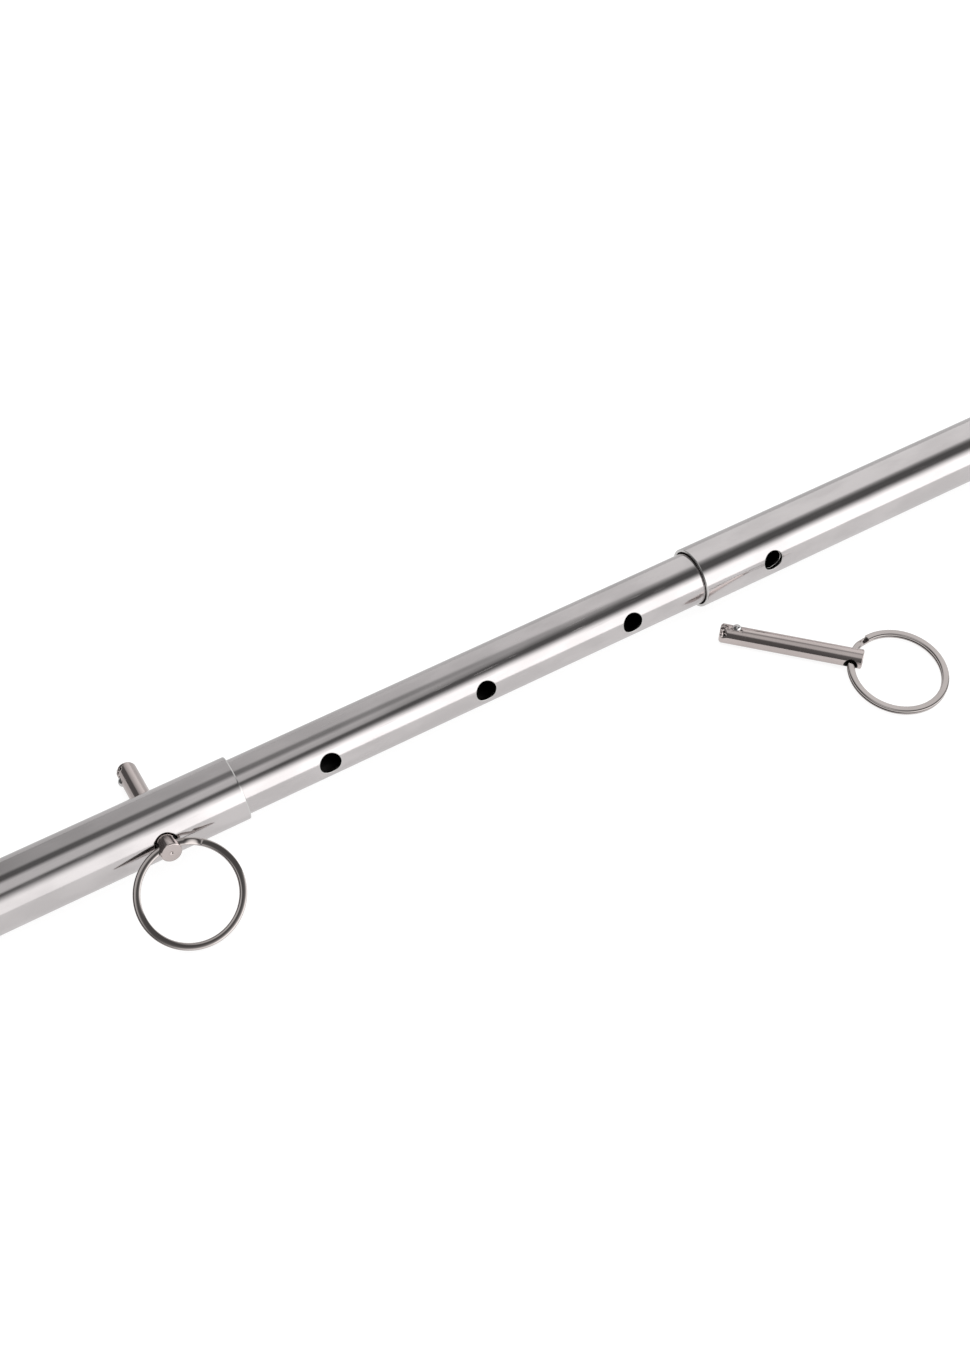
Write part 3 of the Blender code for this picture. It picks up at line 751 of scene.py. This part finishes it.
def peening(rng, ball_angle, facing, count=26):
    """Four punch marks round the ball, a crumpled patch near the tip, and a notch at the very end."""
    marks = [(BALL_HEIGHT + PUNCH_AWAY * cos(a), ball_angle + PUNCH_ANGLE * sin(a), 0.3 * MM, 0.5 * MM)
             for a in (pi / 4, 3 * pi / 4, 5 * pi / 4, 7 * pi / 4)]
    heights = rng.uniform(0.3, 2.9, count) * MM
    angles = facing + rng.uniform(-0.85, 0.85, count)
    sizes = rng.uniform(0.17, 0.36, count) * MM
    depths = rng.uniform(0.2, 0.7, count) * MM
    notch = [(0, facing + 0.16 * step, 0.34 * MM, 0.6 * MM) for step in range(-2, 3)]
    return np.concatenate([marks, np.stack([heights, angles, sizes, depths], axis=1), notch])


# %% Balls and springs
def sphere(radius, rings=24, sides=40):
    """Radius times sin a across and cos a up, for a from 0 to pi."""
    a = np.linspace(0, pi, rings + 1)[:, None]
    return joined(grid(spun(radius * np.sin(a), radius * np.cos(a), circle(sides)[None, :])))


def swept(path, side, section, bulge=0.0):
    """A section of (sideways, upward) points carried along a path, with its ends drawn shut."""
    along = unit(np.gradient(path, axis=0))
    upward = unit(np.cross(along, side))
    sideways = np.cross(upward, along)
    shrink = np.array([0.0, 0.6, 0.85, 0.97])
    scale = np.concatenate([shrink, np.ones(len(path) - 2), shrink[::-1]])
    pick = np.concatenate([[0] * 4, np.arange(1, len(path) - 1), [len(path) - 1] * 4])
    out = np.concatenate([-np.sqrt(1 - shrink**2), np.zeros(len(path) - 2), np.sqrt(1 - shrink[::-1] ** 2)])
    centre = path[pick] + bulge * out[:, None] * along[pick]
    across = section[None, :, 0, None] * sideways[pick][:, None]
    above = section[None, :, 1, None] * upward[pick][:, None]
    points = centre[:, None] + scale[:, None, None] * (across + above)
    run = np.concatenate([[0], np.cumsum(np.linalg.norm(np.diff(path, axis=0), axis=1))])[pick]
    grain = np.empty_like(points)
    grain[..., 0] = run[:, None]
    grain[..., 1:] = section[None] * scale[:, None, None]
    return joined(grid(points, (scale < 1) * 0.8, grain=grain))


def round_section(radius, sides):
    return radius * np.stack([np.cos(circle(sides)), np.sin(circle(sides))], axis=1)


def spring_surface(turns=3, coil=1.2 * MM, wire=0.2 * MM):
    """A helix that rises evenly between the bore's floor and the ball."""
    t = np.linspace(0, 1, turns * 36 + 1)
    foot = BORE_FLOOR + wire + 0.3 * MM
    top = BALL_CENTRE - BALL_RADIUS - wire - 0.15 * MM
    a = 2 * pi * turns * t
    outward = np.stack([np.cos(a), np.sin(a), 0 * a], axis=1)
    path = coil * outward + (foot + (top - foot) * t)[:, None] * (0, 0, 1)
    return swept(path, outward, round_section(wire, 12))


# %% [markdown]
# ## The split rings
# A split ring is flat wire wound for two turns. Where the turns change over, one strand steps
# across and the two cut ends stop on either side of it. The wire's section is a box with very
# round corners, carried along that path. Two close turns make the fine dark line that runs round
# the ring, and a dark shade painted in the groove between them deepens it.

# %% Ring surface
RING_RADIUS = 18.95 * MM
RING_WIDTH = 2.8 * MM
RING_THICKNESS = 1.15 * MM
RING_GAP = 0.1 * MM
GROOVE_HALF = 0.42 * MM
RING_STEP = radians(16.0)
RING_END_GAP = radians(2.5)
RING_STEP_AT = pi - radians(26.0)


def box_section(width, height, power, sides):
    """A circle pressed towards a box: each of cos and sin is raised to a power below 1."""
    a = circle(sides)
    x = np.sign(np.cos(a)) * np.abs(np.cos(a)) ** power
    y = np.sign(np.sin(a)) * np.abs(np.sin(a)) ** power
    return np.stack([x * width / 2, y * height / 2], axis=1)


def ring_surface(count=520):
    """Two turns about local Z through the local origin, with a dark shade painted in the groove between
    them.
    """
    first = RING_STEP / 2 + RING_END_GAP
    turn = np.linspace(first, 4 * pi - first, count)
    climb = np.clip((turn - 2 * pi) / RING_STEP + 0.5, 0, 1)
    climb = climb**2 * (3 - 2 * climb)
    a = turn + RING_STEP_AT
    outward = np.stack([np.cos(a), np.sin(a), 0 * a], axis=1)
    level = (RING_THICKNESS + RING_GAP) * (climb - 0.5)
    path = RING_RADIUS * (outward + (1, 0, 0)) + level[:, None] * (0, 0, 1)
    ring = swept(path, outward, box_section(RING_WIDTH, RING_THICKNESS, 0.7, 24), 0.12 * MM)
    around = np.arctan2(ring.points[:, 1], ring.points[:, 0] - RING_RADIUS) - RING_STEP_AT
    from_step = np.abs((around + pi) % (2 * pi) - pi)
    groove = 1.2 - np.abs(ring.points[:, 2]) / GROOVE_HALF
    # The groove between the turns gets the bore mark, a painted shade, except near the step.
    ring.marks[:, 1] = np.clip(groove, 0, 1) * np.clip(from_step / RING_STEP - 0.4, 0, 1)
    return ring


def hanging(surface, hole, outward, drop, yaw=0.0):
    """A ring whose local origin is in a hole, and whose local X points out and down by drop."""
    heading = atan2(outward[1], outward[0]) + yaw
    level = np.array([cos(heading), sin(heading), 0.0])
    toward = cos(drop) * level - sin(drop) * np.array([0.0, 0.0, 1.0])
    side = np.array([-sin(heading), cos(heading), 0.0])
    return placed(surface, hole, np.cross(toward, side), toward)


# %% Both pins, with balls, springs and rings
def add_pin(side, axis, facing, ring_yaw, seed):
    """A pin set from the joints: the ring's hinge is its cross hole, the ball's slide its side hole."""
    hole = np.array(joints[side + "_ring_swing"]["pos_m"])
    cross = unit(joints[side + "_ring_swing"]["axis"])
    out = -unit(joints[side + "_ball_press"]["axis"])
    axis = unit(axis)
    third = np.cross(axis, cross)
    ball_angle = round(atan2(out @ third, out @ cross) / PIN_STEP) * PIN_STEP
    tip = hole - CROSS_HEIGHT * axis
    dents = peening(np.random.default_rng(seed), ball_angle, facing)
    pin = placed(pin_surface(ball_angle, dents), tip, axis, cross)
    add_piece(side + "_pin_steel", pin, pin_steel, side + "_pin", "pin_steel", side + "_pin")
    seat = tip + BALL_HEIGHT * axis
    ball = placed(sphere(BALL_RADIUS), seat + BALL_CENTRE * out, out, axis)
    add_piece(side + "_ball", ball, ball_steel, side + "_ball", "ball_steel", side + "_detent_ball")
    spring = placed(spring_surface(), seat, out, axis)
    coil = add_piece(side + "_spring", spring, spring_steel, side + "_pin", "spring_wire",
                     side + "_detent_spring")
    foot = seat + BORE_FLOOR * out
    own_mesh(coil)
    reach = 2 * RING_RADIUS + RING_WIDTH / 2
    half = RING_THICKNESS + RING_GAP
    drop = asin(hole[2] / hypot(reach, half)) - atan2(half, reach)
    ring = hanging(ring_surface(), hole, axis, drop, ring_yaw)
    add_piece(side + "_ring", ring, ring_steel, side + "_ring", "ring_wire", side + "_split_ring")


add_pin("left", PIN_LINE, facing=radians(150.0), ring_yaw=0.0, seed=4)
lying = np.cross(joints["loose_ring_swing"]["axis"], (0, 0, 1))
add_pin("loose", lying, facing=radians(95.0), ring_yaw=radians(-5.0), seed=11)

# %% [markdown]
# ## The ends
# Each outer tube is closed by a turned plug with a collar, held by two rivets. An eye bolt turns in
# the plug on a washer, with a nut and a second washer inside the tube, and a welded round ring
# hangs in the eye. All of these are turned or bent, so the same few surfaces make them.

# %% Plug, rivet, washer and nut
def plug_surface(face):
    """A collar with a shallow washer seat, and a spigot with a counterbore. Height 0 is the tube's end."""
    corners = [(4.4, face - 0.4), (8.4, face - 0.4), (8.4, face), (16, face), (16, 0.3), (11.2, 0.3),
               (11.2, -26), (9, -26), (9, -13), (4.4, -13)]
    radii = np.array([0.3, 0.1, 0.15, 1.1, 0.8, 0.1, 0.9, 0.3, 0.3, 0.3]) * MM
    return turned(np.array(corners) * MM, radii, closed=True, sides=120, steps=7)


def rivet_surface():
    """A domed head with the broken stem showing in its middle, and a plain shank."""
    head = [(0, 0.95), (0.75, 0.95), (0.95, 0.7), (1.15, 0.7), (1.3, 1.36), (2.5, 1.05), (3.3, 0.4),
            (3.5, 0), (2, 0), (2, -5.2), (0, -5.2)]
    radii = np.array([0, 0.12, 0.1, 0.1, 0.25, 0.8, 0.5, 0.15, 0.2, 0.3, 0]) * MM
    return turned(np.array(head) * MM, radii, sides=64)


def washer_surface():
    corners = [(4.3, 0), (8, 0), (8, 1.2), (4.3, 1.2)]
    return turned(np.array(corners) * MM, 0.25 * MM, closed=True)


def nut_surface(flats=13 * MM, height=6.5 * MM, bore=4.3 * MM, sides=96):
    """A hexagon whose corners are cut back in a cone: the further out, the lower the edge."""
    angles = circle(sides)
    hexagon = flats / 2 / np.cos((angles % (pi / 3)) - pi / 6)
    fall = 0.55 * (hexagon - 0.97 * flats / 2)
    none = 0 * angles
    rows = [
        (none + bore, none + 0.3 * MM), (none + bore + 0.3 * MM, none), (none + 0.96 * flats / 2, none),
        (hexagon, fall), (hexagon, height - fall), (none + 0.96 * flats / 2, none + height),
        (none + bore + 0.3 * MM, none + height), (none + bore, none + height - 0.3 * MM),
    ]
    radius, level = (np.array(part) for part in zip(*rows))
    return joined(grid(spun(radius, level, angles[None, :]), wrap_rows=True))


# %% Eye bolt and end ring
EYE_CENTRE = 12.5 * MM
EYE_HOLE = 4.75 * MM
EYE_RADIUS = 10.5 * MM
EYE_HALF = 3 * MM


def eye_surface(foot):
    """A shank and shoulder, and a flat eye. The neck is round at the shoulder and widens to the eye."""
    shank = turned(
        [(0, 2.2 * MM), (7.5 * MM, 2.2 * MM), (7.5 * MM, 0), (4 * MM, 0), (4 * MM, foot), (0, foot)],
        np.array([0, 0.5, 0.3, 0.3, 0.5, 0]) * MM,
    )
    t = np.linspace(0, 1, 25)[:, None]
    angles = circle(64)[None, :]
    level = (1.9 + 5.2 * t) * MM
    flare = 0.9 * (1 - t) ** 4
    wide = (3.4 + flare + 3.6 * t**2.2) * MM
    thick = np.minimum(3.2 + flare, 3.2 - 0.35 * t + flare) * MM
    neck = np.stack(np.broadcast_arrays(wide * np.cos(angles), thick * np.sin(angles), level), axis=-1)
    first, last = (np.broadcast_to((0, 0, level[row, 0]), (1, 64, 3)) for row in (0, -1))
    neck = np.concatenate([first, neck, last])
    disc = turned(
        [(EYE_HOLE, -EYE_HALF), (EYE_RADIUS, -EYE_HALF), (EYE_RADIUS, EYE_HALF), (EYE_HOLE, EYE_HALF)],
        1.3 * MM, closed=True, sides=120, steps=9,
    )
    disc = placed(disc, (0, 0, EYE_CENTRE), (0, 1, 0), (1, 0, 0))
    return joined(shank, grid(neck), disc)


def end_ring_surface(radius, wire, count=240):
    """A round bar bent to a circle that starts at the origin, with a weld that swells like a bell."""
    a = circle(count)[:, None]
    b = circle(28)[None, :]
    weld_at = radians(35.0)
    thick = wire * (1 + 0.07 * np.exp(-(((a - weld_at) * radius) / (1.1 * MM)) ** 2))
    across = radius + thick * np.cos(b)
    points = np.stack([radius + across * np.cos(a), across * np.sin(a), thick * np.sin(b)], axis=-1)
    run = np.broadcast_to(a * radius, across.shape)
    grain = np.stack([run, thick * np.cos(b), thick * np.sin(b)], axis=-1)
    return joined(grid(points, grain=grain, wrap_rows=True))


# %% Both ends
COLLAR_FACE = 6.7 * MM
END_RING_RADIUS = 17.5 * MM
END_RING_WIRE = 2.5 * MM
RIVET_HEAD = 1.4 * MM


def add_end(side, body, outward):
    """One end. Each piece starts where its CAD node does, and points outward along the bar."""
    swivel = side + "_swivel"
    hole = np.array(joints[swivel + "_turn"]["pos_m"])

    def along(node, offset=0.0):
        low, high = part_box(side + node)
        return np.array([(low.x if outward > 0 else high.x) + outward * offset, hole[1], hole[2]])

    def add(name, surface, origin, axis, material, rides_on, slot):
        lies = (0, 0, 1) if axis[2] == 0 else (1, 0, 0)
        whole = placed(surface, origin, axis, lies)
        add_piece(side + name + "_steel", whole, material, rides_on, slot, side + name)

    way = (outward, 0, 0)
    add("_end_plug", plug_surface(COLLAR_FACE / MM), along("_end_plug", 26 * MM), way,
        end_steel, body, "end_steel")
    for where, up in (("_top_rivet", 1), ("_bottom_rivet", -1)):
        low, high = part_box(side + where)
        centre = (low + high) / 2
        seat = (high.z if up > 0 else low.z) - up * RIVET_HEAD
        add(where, rivet_surface(), (centre.x, centre.y, seat), (0, 0, up),
            fastener_steel, body, "fastener_steel")
    for node in ("_thrust_washer", "_inner_washer"):
        add(node, washer_surface(), along(node), way, fastener_steel, body, "fastener_steel")
    add("_lock_nut", nut_surface(), along("_lock_nut"), way, fastener_steel, swivel, "fastener_steel")
    low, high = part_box(side + "_swivel_eye")
    shoulder = EYE_CENTRE + EYE_RADIUS
    foot = shoulder - (high.x - low.x)
    eye = along("_swivel_eye", -foot)
    add("_swivel_eye", eye_surface(foot), eye, way, end_steel, swivel, "end_steel")
    drop = asin((hole[2] - END_RING_WIRE) / (2 * END_RING_RADIUS))
    ring = hanging(end_ring_surface(END_RING_RADIUS, END_RING_WIRE), hole, way, drop)
    add_piece(side + "_round_ring", ring, round_bar_steel, side + "_end_ring", "end_ring_steel",
              side + "_end_ring")


add_end("left", "bar", -1)
add_end("right", "right_tube", 1)
